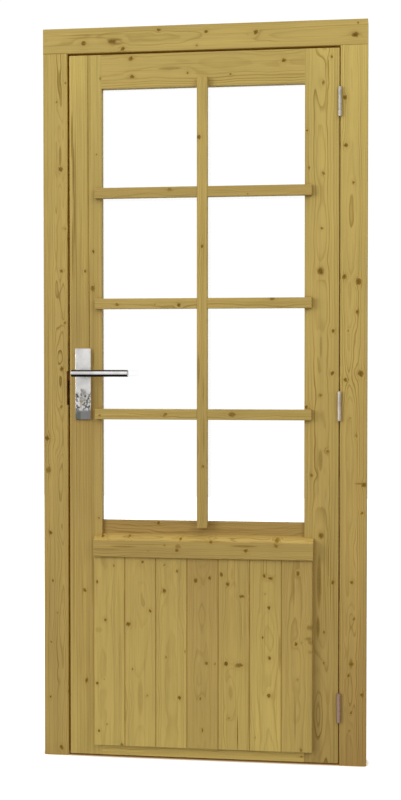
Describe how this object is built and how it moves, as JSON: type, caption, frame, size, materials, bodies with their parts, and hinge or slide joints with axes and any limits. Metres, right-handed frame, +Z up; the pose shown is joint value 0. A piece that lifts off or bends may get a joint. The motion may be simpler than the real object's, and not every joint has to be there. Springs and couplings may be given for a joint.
{
  "type": "glazed wooden door with frame",
  "caption": "Outward-opening timber garden door in its rebated frame: barred glass pane above a weather sill, vertical boards below, butt hinges, lever handles and key lock.",
  "frame": {"origin": "bottom centre of the door frame, at the middle of the leaf's thickness, level with the jambs' feet", "axes": "+Z up; -Y towards the outside, the side the leaf opens to; +X towards the hinges, so the lock is at -X"},
  "size_m": [0.93, 0.174, 2.1],
  "materials": {
    "frame_timber": "planed, treated softwood",
    "leaf_timber": "planed, treated softwood",
    "bar_timber": "planed, treated softwood",
    "board_timber": "planed, treated softwood",
    "sill_timber": "planed, treated softwood",
    "glass": "clear",
    "stainless": "fine satin",
    "zinc_steel": "dull zinc plated",
    "fasteners": "dull zinc plated",
    "nickel": "nickel plated"
  },
  "bodies": {
    "frame": {"left_jamb": "frame_timber", "right_jamb": "frame_timber", "frame_head": "frame_timber", "threshold_batten": "frame_timber", "strike_plate": "zinc_steel", "strike_screws": "fasteners", "hinge_flaps_frame": "zinc_steel", "hinge_pins": "zinc_steel", "hinge_screws_frame": "fasteners"},
    "leaf": {"lock_stile": "leaf_timber", "hinge_stile": "leaf_timber", "top_rail": "leaf_timber", "mid_rail": "leaf_timber", "bottom_rail": "leaf_timber", "glass_pane": "glass", "bead_top": "leaf_timber", "bead_bottom": "leaf_timber", "bead_left": "leaf_timber", "bead_right": "leaf_timber", "long_bar": "bar_timber", "cross_bar_1": "bar_timber", "cross_bar_2": "bar_timber", "cross_bar_3": "bar_timber", "bar_brads": "fasteners", "board_1": "board_timber", "board_2": "board_timber", "board_3": "board_timber", "board_4": "board_timber", "board_5": "board_timber", "board_6": "board_timber", "board_7": "board_timber", "weather_sill": "sill_timber", "board_nails": "fasteners", "hinge_flaps_leaf": "zinc_steel", "hinge_screws_leaf": "fasteners", "lock_case": "zinc_steel", "lock_forend": "stainless", "forend_screws": "fasteners", "outer_plate": "stainless", "inner_plate": "stainless", "plate_screws": "fasteners", "lock_cylinder": "nickel"},
    "lever_set": {"outer_lever": "stainless", "inner_lever": "stainless", "spindle": "zinc_steel", "lock_hub": "zinc_steel"},
    "latch": {"latch_bolt": "zinc_steel"},
    "deadbolt": {"dead_bolt": "zinc_steel"},
    "key_set": {"cylinder_plug": "nickel", "door_key": "nickel", "key_ring": "nickel", "spare_key": "nickel"}
  },
  "joints": [
    {"name": "leaf_swing", "type": "hinge", "parent": "frame", "child": "leaf", "pos_m": [0.38775, -0.0256, 1], "axis": [0, 0, 1], "range_deg": [0, 160]},
    {"name": "lever_turn", "type": "hinge", "parent": "leaf", "child": "lever_set", "pos_m": [-0.3475, 0, 1.11], "axis": [0, 1, 0], "range_deg": [0, 40], "stiffness_Nm_per_rad": 1.6, "springref_deg": -34.38},
    {"name": "latch_slide", "type": "slide", "parent": "leaf", "child": "latch", "axis": [1, 0, 0], "range_m": [0, 0.0125]},
    {"name": "key_turn", "type": "hinge", "parent": "leaf", "child": "key_set", "pos_m": [-0.3475, 0, 1.055], "axis": [0, -1, 0], "range_deg": [0, 360]},
    {"name": "deadbolt_slide", "type": "slide", "parent": "leaf", "child": "deadbolt", "axis": [-1, 0, 0], "range_m": [0, 0.02]}
  ],
  "couplings": [
    {"joint": "latch_slide", "follows": "lever_turn", "m_per_rad": 0.0179},
    {"joint": "deadbolt_slide", "follows": "key_turn", "m_per_rad": 0.00318}
  ]
}
